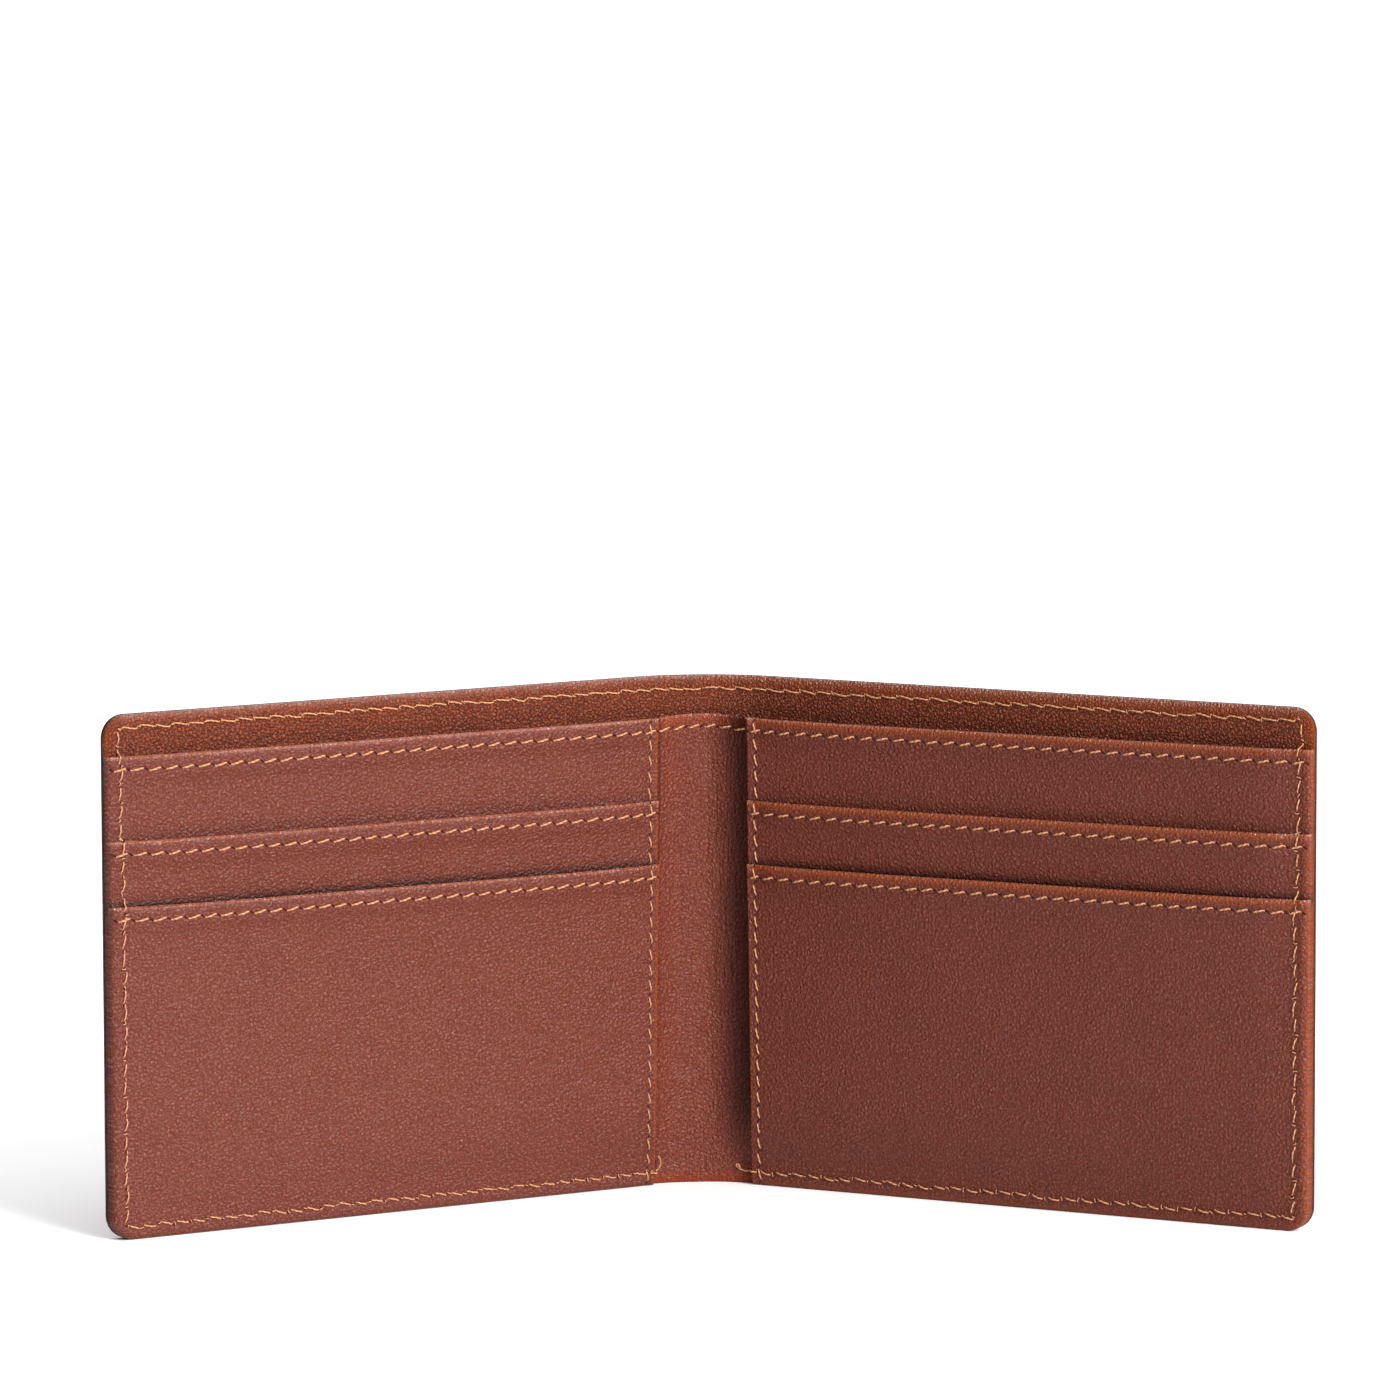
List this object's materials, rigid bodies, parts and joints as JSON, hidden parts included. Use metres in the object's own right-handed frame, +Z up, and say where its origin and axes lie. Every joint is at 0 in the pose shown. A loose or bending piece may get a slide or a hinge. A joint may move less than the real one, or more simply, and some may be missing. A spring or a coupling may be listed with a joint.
{
  "type": "bifold wallet",
  "caption": "Slim leather bifold wallet with stitched card pockets on both inner panels and a full-width note compartment, folding along a soft spine.",
  "frame": {"origin": "middle of the wallet's footprint, on the surface that its lower edges stand on", "axes": "+X across the open wallet from left panel to right panel, +Y away from the open side towards the spine, +Z up along the spine"},
  "size_m": [0.1906, 0.0532, 0.083],
  "materials": {
    "cover_leather": "smooth grain leather, satin, burnished dark edges",
    "lining_leather": "pebbled grain leather, satin",
    "pocket_leather": "fine grain leather, satin",
    "pocket_fabric": "fine plain-woven lining, matte",
    "thread": "waxed polyester thread, golden tan"
  },
  "bodies": {
    "spine": {"cover_bobbin_thread_spine": "thread", "cover_lining_spine": "lining_leather", "cover_needle_thread_spine": "thread", "inner_backing_spine": "pocket_leather", "outer_cover_spine": "cover_leather", "top_hem_thread_spine": "thread"},
    "left_panel": {"cover_bobbin_thread_left": "thread", "cover_lining_left": "lining_leather", "cover_needle_thread_left": "thread", "front_hem_thread_left": "thread", "front_pocket_left": "pocket_leather", "inner_backing_left": "pocket_leather", "inner_seam_thread_left": "thread", "middle_hem_thread_left": "thread", "middle_pocket_left": "pocket_leather", "outer_cover_left": "cover_leather", "pocket_fabric_left": "pocket_fabric", "slot_base_thread_left": "thread", "top_hem_thread_left": "thread", "upper_pocket_left": "pocket_leather"},
    "right_panel": {"cover_bobbin_thread_right": "thread", "cover_lining_right": "lining_leather", "cover_needle_thread_right": "thread", "front_hem_thread_right": "thread", "front_pocket_right": "pocket_leather", "inner_backing_right": "pocket_leather", "inner_seam_thread_right": "thread", "middle_hem_thread_right": "thread", "middle_pocket_right": "pocket_leather", "outer_cover_right": "cover_leather", "pocket_fabric_right": "pocket_fabric", "slot_base_thread_right": "thread", "top_hem_thread_right": "thread", "upper_pocket_right": "pocket_leather"}
  },
  "joints": [
    {"name": "left_fold", "type": "hinge", "parent": "spine", "child": "left_panel", "pos_m": [-0.0052, 0.02602, 0], "axis": [0, 0, 1], "range_deg": [-28.97, 61.03]},
    {"name": "right_fold", "type": "hinge", "parent": "spine", "child": "right_panel", "pos_m": [0.0052, 0.02602, 0], "axis": [0, 0, -1], "range_deg": [-28.97, 61.03]}
  ],
  "couplings": [
    {"joint": "right_fold", "follows": "left_fold", "ratio": 1}
  ]
}
